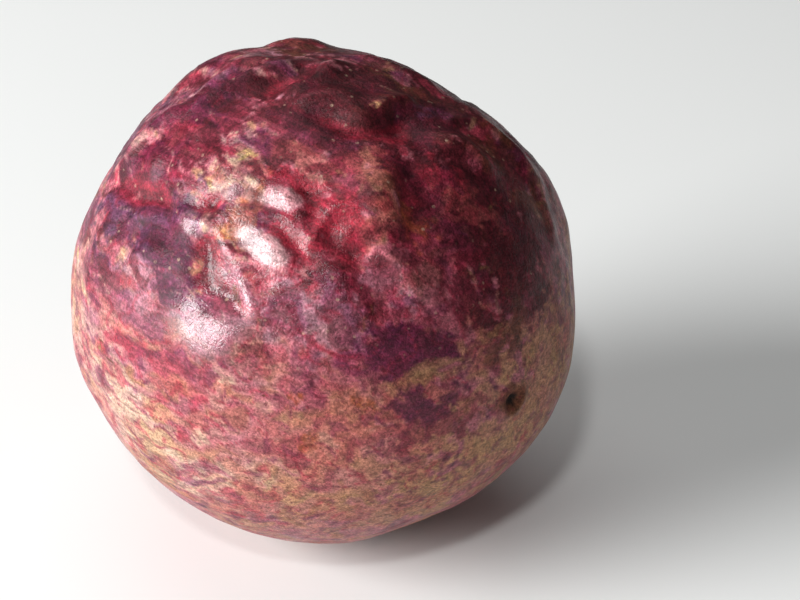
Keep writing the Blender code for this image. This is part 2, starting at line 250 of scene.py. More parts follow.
def wandered(d, amount, size, seed=0):
    """The directions d, each moved by smooth noise, so that what is set out on them strays."""
    away = Vector((17.3 * seed, -9.1 * seed, 5.7 * seed))
    shift = np.array([noise.noise_vector(Vector(v) * BODY_RADIUS / size + away) for v in d])
    return unit(d * BODY_RADIUS + 2.0 * amount * shift)


def fold_rise(d, fold, where):
    """How far a fold lifts the rind at each direction in d."""
    path = np.array([where(*point) for point in arc(fold)])
    start, step = path[:-1], path[1:] - path[:-1]
    length2 = (step * step).sum(1)
    along = d @ step.T - (start * step).sum(1)
    t = np.clip(along / length2, 0.0, 1.0)
    apart2 = 2.0 - 2.0 * (d @ start.T) - 2.0 * t * along + t * t * length2
    nearest = apart2.argmin(1)
    rows = np.arange(len(d))
    apart = BODY_RADIUS * np.sqrt(np.maximum(apart2[rows, nearest], 0.0))
    side = (d @ np.cross(start, path[1:]).T)[rows, nearest]
    reach = np.where(side > 0.0, fold.left, fold.right)
    place = (nearest + t[rows, nearest]) / len(step)
    fade = ramp(0.0, FADE, place) * ramp(0.0, FADE, 1.0 - place)
    apart = np.sqrt(apart**2 + CREST_SOFTNESS**2) - CREST_SOFTNESS
    return fold.rise * fade * np.maximum(0.0, 1.0 - apart / (2.0 * reach)) ** FLANK_POWER


def along_and_across(d, oval, where, flatness=LUMP_FLATNESS):
    """How far each direction in d lies along and across an oval, and 1 in it, 0 outside it."""
    centre = where(*oval.centre)
    sideways = unit(np.cross(face_axes()[1], centre))
    upwards = np.cross(centre, sideways)
    turn = radians(oval.heading)
    along = d @ (cos(turn) * sideways + sin(turn) * upwards) * BODY_RADIUS
    across = d @ (cos(turn) * upwards - sin(turn) * sideways) * BODY_RADIUS
    inside = np.exp(-(((along / oval.along) ** 2 + (across / oval.across) ** 2) ** flatness))
    return along, across, inside * (d @ centre > 0.0)


def lump_rise(d, lump, where):
    """How far a lump lifts the rind at each direction in d."""
    return lump.rise * along_and_across(d, lump, where)[2]


def facet_rise(d, facet, where):
    """How far a facet lifts or sinks the rind at each direction in d."""
    along, across, inside = along_and_across(d, facet, where, FACET_FLATNESS)
    facing = radians(facet.facing - facet.heading)
    return -tan(radians(facet.tilt)) * (along * cos(facing) + across * sin(facing)) * inside


def crown_share(d):
    """1 in the dried crown, 0 on the smooth underside."""
    middle = around(*CROWN)
    degrees, size = CROWN_RAGGED
    wander = np.array([noise.noise(Vector(v) * BODY_RADIUS / size) for v in d])
    angle = np.degrees(np.arccos(np.clip(d @ middle, -1.0, 1.0))) + degrees * wander
    return 1.0 - ramp(*CROWN_EDGE, angle)


def dimple_rise(d):
    """Shallow dimples with ridges between them, as a drying rind buckles."""
    total = np.zeros(len(d))
    edge, slope = DIMPLE_RIDGE
    for depth, spacing, wander in DIMPLES:
        for i, v in enumerate(d * BODY_RADIUS):
            bent = Vector(v) + wander * noise.noise_vector(Vector(v) / (1.6 * spacing))
            near = noise.voronoi(bent / spacing)[0]
            total[i] += depth * (edge - min(1.0, slope * (near[1] - near[0])))
    front = ramp(*FRONT_EDGE, d @ face_axes()[2])
    return total * crown_share(d) * (1.0 - (1.0 - FRONT_SHARE) * front)


def scar_rise(d, centre, radius, depth, rim):
    """A round pit with a low rim."""
    apart = BODY_RADIUS * np.arccos(np.clip(d @ centre, -1.0, 1.0)) / radius
    place, width = SCAR_RIM
    return rim * np.exp(-(((apart - place) / width) ** 2)) - depth * np.exp(-(apart**2))


def skin_radius(d):
    """The distance of the rind from the middle of the ball at each direction in d."""
    style = face(*STYLE_END)
    radius = BODY_RADIUS + LENGTHENING * ((d @ style) ** 2 - 1.0 / 3.0)
    stray = wandered(d, *WANDER)
    for fold in FACE_FOLDS:
        radius += fold_rise(stray, fold, face)
    for fold in BACK_FOLDS:
        radius += fold_rise(stray, fold, around)
    for facet in FACE_FACETS:
        radius += facet_rise(d, facet, face)
    for lump in FACE_LUMPS:
        radius += lump_rise(d, lump, face)
    for lump in BACK_LUMPS:
        radius += lump_rise(d, lump, around)
    radius += dimple_rise(d)
    radius += scar_rise(d, style, STYLE_SCAR_RADIUS, *STYLE_SCAR)
    radius += scar_rise(d, -style, STEM_SCAR_RADIUS, *STEM_SCAR)
    return radius


def middle_height():
    """How high the middle of the ball lies over the plane that cuts the flat spot."""
    lowest = skin_radius(np.array(((0.0, 0.0, -1.0),)))[0]
    return np.sqrt(lowest**2 - FLAT_SPOT_RADIUS**2)


def gathered(d):
    """The directions drawn towards the folds, to make the mesh finer there."""
    middle = face(*GATHER_POINT)
    height = d @ middle
    angle = np.arccos(np.clip(height, -1.0, 1.0))
    closer = 2.0 * np.arctan(np.tan(angle / 2.0) / GATHER)
    outward = d - height[:, None] * middle
    outward /= np.maximum(np.linalg.norm(outward, axis=1, keepdims=True), 1e-9)
    return np.cos(closer)[:, None] * middle + np.sin(closer)[:, None] * outward


# ---------------------------------------------------------------------------------------------
# Camera, floor and lights

VIEW_DISTANCE = 8.06 * BODY_RADIUS * MM
FRUIT_IN_VIEW = (-0.0385, 0.005)  # where the middle of the fruit lies, as shares of the distance


def middle():
    low, high = cad_box
    return Vector((0.0, 0.0, (low.z + high.z) / 2))


def add_camera():
    right, up, out = (Vector(a) for a in face_axes())
    place = middle() + out * VIEW_DISTANCE
    x, y = FRUIT_IN_VIEW
    ahead = (-out - right * x - up * y).normalized()
    side = (right - ahead * right.dot(ahead)).normalized()
    data = bpy.data.cameras.new("camera")
    data.lens = 90
    data.sensor_width = 36
    data.clip_start = 0.001
    camera = bpy.data.objects.new("camera", data)
    camera.matrix_world = Matrix.Translation(place) @ Matrix(
        (side, side.cross(ahead), -ahead)).transposed().to_4x4()
    bpy.context.scene.collection.objects.link(camera)
    bpy.context.scene.camera = camera


def add_light(name, towards, distance, size, energy, colour=(1.0, 1.0, 1.0)):
    data = bpy.data.lights.new(name, "AREA")
    data.shape = "DISK"
    data.size = size
    data.energy = energy
    data.color = colour
    light = bpy.data.objects.new(name, data)
    towards = Vector(towards).normalized()
    light.location = middle() + towards * distance
    light.rotation_euler = towards.to_track_quat("Z", "Y").to_euler()
    bpy.context.scene.collection.objects.link(light)


def add_floor():
    mesh = bmesh.new()
    bmesh.ops.create_grid(mesh, x_segments=1, y_segments=1, size=3.0)
    data = bpy.data.meshes.new("floor")
    mesh.to_mesh(data)
    mesh.free()
    floor = bpy.data.objects.new("floor", data)
    bpy.context.scene.collection.objects.link(floor)
    paper = bpy.data.materials.new("paper")
    paper.use_nodes = True
    shader = paper.node_tree.nodes["Principled BSDF"]
    shader.inputs["Base Color"].default_value = (0.85, 0.86, 0.85, 1.0)
    shader.inputs["Roughness"].default_value = 0.75
    shader.inputs["Specular IOR Level"].default_value = 0.2
    data.materials.append(paper)


def add_studio():
    scene = bpy.context.scene
    scene.view_settings.view_transform = "Standard"
    world = bpy.data.worlds.new("studio")
    scene.world = world
    world.use_nodes = True
    sky = world.node_tree.nodes["Background"]
    sky.inputs["Color"].default_value = (0.98, 1.0, 1.0, 1.0)
    sky.inputs["Strength"].default_value = 0.08
    add_light("window", (-0.93, -0.34, 0.37), 0.90, 0.60, 17.0)
    add_light("overhead", (-0.15, 0.40, 0.90), 0.90, 0.90, 1.9)
    add_light("flash", (-0.12, -0.65, 0.75), 0.60, 0.05, 0.75)
    add_floor()
    add_camera()


# ---------------------------------------------------------------------------------------------
# The colours of the rind

RIND_COLOURS = {
    "cream": (0.42, 0.28, 0.20),
    "straw": (0.38, 0.25, 0.10),
    "tan": (0.30, 0.15, 0.07),
    "olive": (0.18, 0.11, 0.04),
    "salmon": (0.37, 0.155, 0.11),
    "coral": (0.32, 0.085, 0.065),
    "rose": (0.29, 0.085, 0.105),
    "lilac": (0.26, 0.13, 0.165),
    "blush": (0.42, 0.26, 0.26),
    "mauve": (0.09, 0.04, 0.05),
    "crimson": (0.21, 0.012, 0.024),
    "rust": (0.22, 0.05, 0.02),
    "amber": (0.42, 0.17, 0.06),
    "wine": (0.12, 0.014, 0.026),
    "violet": (0.08, 0.025, 0.055),
    "umber": (0.085, 0.026, 0.013),
    "maroon": (0.055, 0.006, 0.010),
    "plum": (0.06, 0.007, 0.024),
    "scab": (0.010, 0.006, 0.005),
}

# A wash is an oval of one colour with a ragged edge. The later ones lie over the earlier.
Wash = namedtuple("Wash", "colour amount along across heading centre")

FACE_WASHES = (
    # The underside and the sides, which stayed smooth and pale.
    Wash("salmon", 0.85, 19, 11, 0, (-3, -18)),
    Wash("cream", 0.90, 15, 6, -58, (-22.5, -10)),
    Wash("cream", 0.55, 9, 3.5, -40, (-15, -16)),
    Wash("tan", 0.90, 14, 6.5, 52, (20, -13)),
    Wash("rose", 0.60, 9, 5, -20, (-12, -12)),
    # The dried crown.
    Wash("maroon", 0.95, 15, 8.5, -48, (15, 9)),
    Wash("maroon", 0.90, 12, 4.5, -8, (4, 18.5)),
    # Painted sheen: the crest of the left skyline ridge is greyed to mauve where the light grazes
    # it, over its own dark colour.
    Wash("mauve", 0.45, 7, 2, 15, (-9, 24.5)),
    Wash("maroon", 0.90, 13, 4.5, -5, (3, 21.5)),
    Wash("umber", 0.85, 5.5, 2.2, -25, (8, 22)),
    Wash("umber", 0.70, 8, 2.5, -50, (20, 12)),
    Wash("wine", 0.90, 10, 4.5, 30, (-12, 18)),
    Wash("plum", 0.60, 9, 3.5, 35, (-15, 18.5)),
    Wash("violet", 0.95, 8, 4.5, -12, (-19, 8)),
    Wash("wine", 0.75, 6, 2.2, 0, (-3, 16.5)),
    Wash("coral", 0.55, 6, 2.5, -8, (-2, 14)),
    Wash("maroon", 0.95, 9, 3, -5, (4, 18.5)),
    Wash("maroon", 0.95, 10, 3, 10, (-2, 22)),
    # The folds in the middle and what lies round them.
    Wash("crimson", 0.80, 6, 3.2, -35, (-1.5, 8)),
    Wash("wine", 0.80, 6, 3.8, -25, (8, -1)),
    Wash("crimson", 0.55, 7, 4.5, -10, (-0.5, -1.5)),
    Wash("crimson", 0.75, 5, 3.5, 60, (9, 10)),
    Wash("wine", 0.80, 6.5, 4, -70, (11, 3)),
    # Painted shade: the left valley is darkened to plum, partly the rind's own plum and partly the
    # shade of the fold.
    Wash("plum", 0.90, 6, 3, -60, (-14, 3)),
    Wash("lilac", 0.60, 7, 4, -10, (-16, -2)),
    Wash("salmon", 0.25, 3, 2, 0, (-1.5, -3)),
    Wash("cream", 0.95, 4.2, 2.3, 62, (-9.5, 10.8)),
    Wash("amber", 0.85, 4.0, 0.9, 55, (-8.2, 8.8)),
    Wash("straw", 0.70, 2.4, 0.6, 70, (-11.2, 10)),
    Wash("violet", 0.60, 2.0, 0.35, 80, (-11.9, 10.5)),
    Wash("coral", 0.75, 5.5, 2.6, 75, (4.5, 8.5)),
    Wash("salmon", 0.35, 2.5, 1.4, 10, (3.5, 12)),
    Wash("rose", 0.90, 8, 3.6, -12, (0, -2.5)),
    Wash("lilac", 0.75, 7, 2.8, -12, (0.5, -2.5)),
    Wash("rose", 0.85, 5.5, 3.0, -55, (9.5, 1)),
    # Painted highlight: a soft lilac sheen on the wall of the dish.
    Wash("lilac", 0.65, 4.2, 1.1, -50, (7.5, 1.5)),
    Wash("rust", 0.75, 4.0, 0.9, -75, (8, 9)),
    Wash("coral", 0.55, 4.5, 2.2, -40, (14.5, 8)),
    Wash("crimson", 0.60, 4.0, 1.2, -60, (2, 4.5)),
    # The belt below the folds.
    Wash("crimson", 0.75, 4.5, 1.6, -10, (-18, -6)),
    Wash("crimson", 0.45, 4, 1.5, 40, (-14, -9)),
    Wash("salmon", 0.60, 3.5, 1.2, -10, (-20.5, -3)),
    Wash("rose", 0.70, 7, 3, -15, (-3, -9)),
    Wash("plum", 0.80, 5.5, 2.0, 0, (9, -5)),
    Wash("olive", 0.70, 4.5, 1.0, 12, (10.5, -7.6)),
    Wash("plum", 0.75, 4.5, 1.8, 5, (9, -10.3)),
    Wash("wine", 0.75, 6, 2.6, 12, (9.5, -13.5)),
    Wash("coral", 0.65, 6, 3, 20, (1, -13)),
    Wash("umber", 0.85, 4.5, 2.6, 60, (18.5, -2.5)),
    Wash("tan", 0.60, 3.2, 1.6, 60, (15.5, -4)),
    Wash("tan", 0.90, 5, 3, 75, (23, -4)),
    Wash("olive", 0.60, 5, 1.6, 60, (20, -17)),
    Wash("cream", 0.45, 4, 1.6, -20, (-10, -18)),
    Wash("straw", 0.45, 5, 1, -5, (-3, -20)),
)

# The facets are tinted pale as a painted highlight, where they face the window: the colour and how
# much of it.
FACET_PAINTED_HIGHLIGHT = {
    "pillow facet": ("lilac", 0.50),
    "low facet": ("lilac", 0.60),
    "main facet": ("blush", 0.90),
    "upper facet": ("blush", 0.80),
    "hook facet": ("lilac", 0.60),
}

BACK_WASHES = (
    Wash("maroon", 0.92, 20, 13, 0, (150, 45)),
    Wash("wine", 0.85, 14, 9, 0, (215, 45)),
    Wash("violet", 0.80, 9, 6, 20, (250, 30)),
    Wash("plum", 0.85, 10, 6, -20, (120, 20)),
    Wash("umber", 0.70, 8, 3.5, 0, (175, 62)),
    Wash("crimson", 0.70, 9, 4, 15, (190, 20)),
    Wash("salmon", 0.75, 16, 7, 0, (230, -5)),
    Wash("tan", 0.80, 15, 7, 0, (140, -15)),
    Wash("cream", 0.60, 9, 4, -10, (200, -25)),
    Wash("rose", 0.60, 7, 4, 30, (170, -5)),
    Wash("salmon", 0.80, 17, 15, 0, (0, -80)),
)

# Patches scattered by noise: their size in millimetres and the share of the rind that they take,
# on the dried crown and on the smooth belly. Side is -1 for a patch that keeps to the left, as the
# face drawing has it, 1 for one that keeps to the right, and 0 for one that lies all round.
Patch = namedtuple("Patch", "colour amount size share side seed")
CROWN_PATCHES = (
    Patch("plum", 0.60, 3.2, 0.34, 0, 1),
    Patch("wine", 0.50, 2.2, 0.34, 0, 2),
    Patch("lilac", 0.55, 2.4, 0.24, -1, 3),
    Patch("crimson", 0.45, 1.8, 0.24, 0, 4),
    Patch("olive", 0.40, 1.8, 0.14, 1, 5),
    Patch("cream", 0.45, 1.2, 0.14, -1, 6),
    Patch("straw", 0.45, 1.0, 0.08, -1, 8),
    Patch("maroon", 0.60, 1.4, 0.26, 0, 7),
)
BELLY_PATCHES = (
    Patch("rose", 0.60, 4.5, 0.42, 0, 11),
    Patch("cream", 0.70, 3.0, 0.26, -1, 12),
    Patch("coral", 0.65, 3.0, 0.26, 0, 13),
    Patch("wine", 0.55, 1.8, 0.20, 0, 14),
    Patch("tan", 0.70, 2.6, 0.34, 0, 15),
    Patch("crimson", 0.60, 1.0, 0.16, -1, 16),
    Patch("lilac", 0.45, 1.6, 0.22, -1, 17),
    Patch("plum", 0.50, 0.9, 0.12, 0, 18),
)
LAST_PATCHES = 0.50  # the patches lie under the washes, and this much of them over them again
PALE = ("cream", "straw", "tan", "salmon", "coral", "rose", "lilac")
DARK_RIND = (0.03, 0.20)  # pale patches fade out as the red of the rind falls between these
POLISHED = (-7.0, 3.0)  # the middle of the glossy folds, on the face drawing
POLISHED_REACH = (7.0, 15.0)  # the gloss fades between these distances from that middle
GLOSSY, SATIN, DULL = 0.22, 0.29, 0.40  # roughness of the facets, of the folds and of the rest
FACET_SHEEN, DULL_SHEEN = 0.5, 0.2  # how strongly the facets and the dull rind reflect
CORKY = 0.85  # roughness of the scars
DUSTY = Wash("dusty", 0.52, 6.0, 5.0, -50, (-17.5, 4.5))  # the left valley; amount is roughness
STRETCH = 2.6  # patches are this much longer along the fruit than round it
FIBRE_SQUEEZE = 0.15  # how much shorter the fibres' noise is along the fruit than round it
SLIGHT_WANDER = (0.25, 0.8, 61)  # how marks, facets and scars stray: see wandered
TINT_LIMITS = (0.003, 0.8)  # the darkest and palest that any channel gets

# Small marks: spots of resin and cork, rubs and scratches, and one thin streak of painted
# highlight on a crest. Those along and across are in millimetres, and their edges are only a
# little ragged.
FACE_MARKS = (
    Wash("straw", 0.90, 1.1, 0.7, 20, (-7.5, 14)),
    Wash("straw", 0.85, 0.8, 0.6, 0, (-26, 4.5)),
    Wash("straw", 0.75, 1.0, 0.5, 70, (-12.8, 3)),
    Wash("straw", 0.70, 0.7, 0.4, 20, (-13, 0.2)),
    Wash("olive", 0.90, 0.6, 0.5, 0, (-23, -5.5)),
    Wash("olive", 0.90, 0.7, 0.4, 10, (17, 9)),
    Wash("olive", 0.85, 0.8, 0.3, 0, (16, 2.5)),
    Wash("straw", 0.85, 1.1, 0.35, 15, (5.2, 19)),
    Wash("straw", 0.80, 0.7, 0.3, -30, (1.8, 12)),
    Wash("straw", 0.80, 0.4, 0.3, 0, (7.8, 3)),
    Wash("cream", 0.85, 1.5, 0.25, -5, (-9, -8.5)),
    Wash("cream", 0.90, 1.4, 1.1, 40, (-12.5, -14.5)),
    Wash("rust", 0.90, 0.9, 0.6, -10, (-2.8, -9.8)),
    Wash("rust", 0.70, 1.3, 0.8, 50, (-1.5, -14.5)),
    Wash("rust", 0.70, 1.5, 0.7, -30, (4, -10.5)),
    Wash("umber", 0.90, 1.2, 0.35, -75, (-8.7, 0)),
    Wash("umber", 0.75, 2.2, 0.15, 70, (4.3, -2)),
    Wash("umber", 0.80, 2.4, 0.16, 15, (16, -11.5)),
    Wash("umber", 0.75, 1.0, 0.18, -80, (14, -11)),
    Wash("wine", 0.70, 4.0, 0.22, 20, (7.5, -18)),
    Wash("violet", 0.75, 1.5, 1.0, -30, (10.5, 19)),
    # Painted highlight: a thin pale streak along a crest near the skyline.
    Wash("cream", 0.80, 1.4, 0.14, -50, (6.5, 21.5)),
)


def field(points, size, seed):
    """Smooth noise at each point, about -0.5 to 0.5, with lumps of that size in millimetres."""
    away = Vector((17.3 * seed, -9.1 * seed, 5.7 * seed))
    return np.array([noise.noise(Vector(p) / size + away) for p in points])


def along_fruit(d):
    """Points on the ball with its length drawn in, so that noise on them runs lengthways."""
    axis = face(*STYLE_END)
    points = d * BODY_RADIUS
    return points - np.outer(points @ axis, axis) * (1.0 - 1.0 / STRETCH)


def blend(tint, colour, share):
    """The tint under a layer of a colour. Layers multiply, so dark rind stays dark under pale."""
    return tint ** (1.0 - share[:, None]) * np.array(RIND_COLOURS[colour]) ** share[:, None]


def oval(d, wash, where, torn=0.0):
    """1 inside a wash, 0 outside it. Its edge is torn by noise, up or down."""
    inside = along_and_across(d, wash, where)[2]
    return ramp(0.15, 0.65, inside + torn * inside * (1.0 - inside))


def mottled(tint, d, strength):
    """The tint broken into patches, of one set on the dried crown and another on the belly."""
    dried = crown_share(d)
    depth = ramp(*DARK_RIND, tint[:, 0])
    lengthways = along_fruit(wandered(d, 0.8, 2.0, 41))
    for patches, place in ((BELLY_PATCHES, 1.0 - dried), (CROWN_PATCHES, dried)):
        for patch in patches:
            lumps = field(lengthways, patch.size, patch.seed)
            edge = np.quantile(lumps, 1.0 - patch.share)
            held = 1.0 - abs(patch.side) * ramp(-0.3, 0.2, -patch.side * d[:, 0])
            if patch.colour in PALE:
                held = held * depth
            share = patch.amount * place * held * ramp(edge - 0.04, edge + 0.10, lumps)
            tint = blend(tint, patch.colour, strength * share)
    return tint


def distance(d, centre):
    """How far each direction in d lies from another, in millimetres along the ball."""
    return BODY_RADIUS * np.arccos(np.clip(d @ centre, -1.0, 1.0))


def washed(d):
    """The ground colour, the washes over it, and patches of noise under and over them."""
    points = d * BODY_RADIUS
    ragged = wandered(wandered(d, 1.8, 5.0, 21), 0.6, 1.5, 31)
    torn = 5.0 * field(along_fruit(d), 1.3, 22) + 3.0 * field(points, 0.6, 23)
    tint = np.tile(RIND_COLOURS["rose"], (len(d), 1)).astype(float)
    tint = mottled(tint, d, 1.0)
    for washes, where in ((BACK_WASHES, around), (FACE_WASHES, face)):
        for wash in washes:
            tint = blend(tint, wash.colour, wash.amount * oval(ragged, wash, where, torn))
    return mottled(tint, d, LAST_PATCHES)


def creased(tint, d, stray):
    """The tint with creases darkened to deep red and maroon, partly their own colour and partly
    painted shade, and crests tinted mauve on the left, partly wear and partly painted sheen, and
    umber on the right as wear.
    """
    relief = sum(fold_rise(stray, fold, face) for fold in FACE_FOLDS)
    relief = relief + sum(fold_rise(stray, fold, around) for fold in BACK_FOLDS)
    wear_and_sheen_patches = 0.6 + 0.8 * field(d * BODY_RADIUS, 1.2, 51)
    wear_and_sheen = 0.45 * np.clip(wear_and_sheen_patches, 0.0, 1.0) * crown_share(d) * ramp(0.4, 1.2, relief)
    right = ramp(-0.1, 0.2, d[:, 0])
    # Painted sheen: crests on the left are greyed to mauve where the window light grazes them, over
    # some real wear; those on the right turn umber as wear.
    tint = blend(tint, "mauve", 0.7 * wear_and_sheen * (1.0 - right))
    tint = blend(tint, "umber", wear_and_sheen * right)
    # Painted shade: creases turn a deeper red and the deepest maroon, partly the rind's own red and
    # partly the shade inside them.
    tint = blend(tint, "crimson", 0.75 * ramp(0.12, 0.5, -relief))
    return blend(tint, "maroon", 0.60 * ramp(0.45, 0.95, -relief))


def threaded(tint, d, stray):
    """The tint with broken threads of cream on the upper left and of crimson between them."""
    threads = 1.0 - ramp(0.0, 0.045, np.abs(field(along_fruit(stray), 3.0, 52)))
    broken = ramp(0.0, 0.2, field(d * BODY_RADIUS, 2.5, 53))
    left = ramp(0.0, 0.4, -d[:, 0])
    tint = blend(tint, "cream", 0.65 * threads * broken * left * ramp(-0.2, 0.3, d[:, 2]))
    return blend(tint, "crimson", 0.45 * threads * (1.0 - broken))


def marked(tint, d, slightly):
    """The tint with a painted highlight on its facets and the small marks over it."""
    # Painted highlight: each facet is tinted pale where its flat face catches the window light.
    for facet in FACE_FACETS:
        colour, amount = FACET_PAINTED_HIGHLIGHT[facet.name]
        inside = along_and_across(slightly, facet, face, FACET_FLATNESS)[2]
        tint = blend(tint, colour, amount * ramp(0.2, 0.7, inside))
    crumbs = 0.3 + 0.7 * ramp(-0.30, 0.30, field(d * BODY_RADIUS, 0.55, 54))
    for mark in FACE_MARKS:
        tint = blend(tint, mark.colour, mark.amount * crumbs * oval(slightly, mark, face))
    return tint


def scars():
    """Each scar's direction, its radius and the colour of its rim."""
    style = face(*STYLE_END)
    return (style, STYLE_SCAR_RADIUS, "umber"), (-style, STEM_SCAR_RADIUS, "tan")


def scarred(tint, d):
    """The tint with a corky halo and a black pit where the style and the stem were."""
    for end, radius, rim in scars():
        apart = distance(d, end) / radius
        apart = apart + 0.5 * field(d * BODY_RADIUS, 0.7 * radius, 55)
        tint = blend(tint, rim, 0.8 * (1.0 - ramp(0.9, 2.4, apart)))
        tint = blend(tint, "scab", 0.9 * (1.0 - ramp(0.35, 0.85, apart)))
    return tint


def rind_tint(d):
    """The colour of the rind at each direction in d."""
    stray = wandered(d, *WANDER)
    slightly = wandered(d, *SLIGHT_WANDER)
    tint = creased(washed(d), d, stray)
    tint = marked(threaded(tint, d, stray), d, slightly)
    return np.clip(scarred(tint, slightly), *TINT_LIMITS)


def rind_roughness(d):
    """The rind is glossy on the facets, less so on the folds round them, and dull elsewhere."""
    apart = distance(d, face(*POLISHED))
    roughness = SATIN + (DULL - SATIN) * ramp(*POLISHED_REACH, apart)
    roughness += (DUSTY.amount - roughness) * oval(d, DUSTY, face)
    for facet in FACE_FACETS:
        pressed = ramp(0.15, 0.6, along_and_across(d, facet, face, FACET_FLATNESS)[2])
        roughness += (GLOSSY - roughness) * pressed
    for end, radius, _ in scars():
        roughness += (CORKY - roughness) * (1.0 - ramp(1.0, 2.0, distance(d, end) / radius))
    return roughness


def fibre_places(d):
    """Places for the fibres that run along the fruit: round it, and a squeezed length along it."""
    axis = face(*STYLE_END)
    side = unit(np.cross(axis, np.array((0.0, 0.0, 1.0))))
    other = np.cross(axis, side)
    angle = np.arctan2(d @ other, d @ side)
    down = np.arccos(np.clip(d @ axis, -1.0, 1.0))
    girth = np.sin(down)
    return MM * BODY_RADIUS * np.column_stack(
        (girth * np.cos(angle), girth * np.sin(angle), FIBRE_SQUEEZE * down))


# ---------------------------------------------------------------------------------------------
# The material of the rind

class Nodes:
    """Adds nodes to a material and links them."""

    def __init__(self, name):
        self.material = bpy.data.materials.new(name)
        self.material.use_nodes = True
        self.tree = self.material.node_tree
        self.shader = self.tree.nodes["Principled BSDF"]

    def link(self, source, target):
        self.tree.links.new(source, target)

    def attribute(self, name, output):
        node = self.tree.nodes.new("ShaderNodeAttribute")
        node.attribute_name = name
        return node.outputs[output]

    def noise(self, places, size, detail=2.0, roughness=0.5):
        """Noise with lumps of that size in millimetres, 0 to 1."""
        node = self.tree.nodes.new("ShaderNodeTexNoise")
        node.inputs["Scale"].default_value = 1.0 / (size * MM)
        node.inputs["Detail"].default_value = detail
        node.inputs["Roughness"].default_value = roughness
        self.link(places, node.inputs["Vector"])
        return node.outputs["Fac"]

    def voronoi(self, places, size, feature):
        node = self.tree.nodes.new("ShaderNodeTexVoronoi")
        node.feature = feature
        node.inputs["Scale"].default_value = 1.0 / (size * MM)
        self.link(places, node.inputs["Vector"])
        return node

    def cells(self, places, size):
        """Cells of that size in millimetres: how far from their middles, and a number for each."""
        node = self.voronoi(places, size, "F1")
        return node.outputs["Distance"], node.outputs["Color"]

    def cracks(self, places, size):
        """0 on the edges of small cells, growing to their middles."""
        return self.voronoi(places, size, "DISTANCE_TO_EDGE").outputs["Distance"]

    def range(self, value, low, high, to_low, to_high):
        node = self.tree.nodes.new("ShaderNodeMapRange")
        node.interpolation_type = "SMOOTHSTEP"
        for name, number in zip(("From Min", "From Max", "To Min", "To Max"),
                                (low, high, to_low, to_high)):
            node.inputs[name].default_value = number
        self.link(value, node.inputs["Value"])
        return node.outputs["Result"]

    def mix(self, factor, first, second):
        """Mixes two colours; second may be a plain colour."""
        node = self.tree.nodes.new("ShaderNodeMix")
        node.data_type = "RGBA"
        self.link(factor, node.inputs["Factor"])
        self.link(first, node.inputs["A"])
        if isinstance(second, tuple):
            node.inputs["B"].default_value = (*second, 1.0)
        else:
            self.link(second, node.inputs["B"])
        return node.outputs["Result"]

    def math(self, operation, first, second):
        node = self.tree.nodes.new("ShaderNodeMath")
        node.operation = operation
        self.link(first, node.inputs[0])
        self.link(second, node.inputs[1])
        return node.outputs[0]

    def times(self, first, second):
        return self.math("MULTIPLY", first, second)

    def sum(self, first, second):
        return self.math("ADD", first, second)

    def brightened(self, colour, share):
        """The colour times a number."""
        node = self.tree.nodes.new("ShaderNodeVectorMath")
        node.operation = "SCALE"
        self.link(colour, node.inputs[0])
        self.link(share, node.inputs["Scale"])
        return node.outputs["Vector"]

    def bump(self, height, distance, strength, before=None):
        node = self.tree.nodes.new("ShaderNodeBump")
        node.inputs["Distance"].default_value = distance * MM
        node.inputs["Strength"].default_value = strength
        self.link(height, node.inputs["Height"])
        if before:
            self.link(before, node.inputs["Normal"])
        return node.outputs["Normal"]


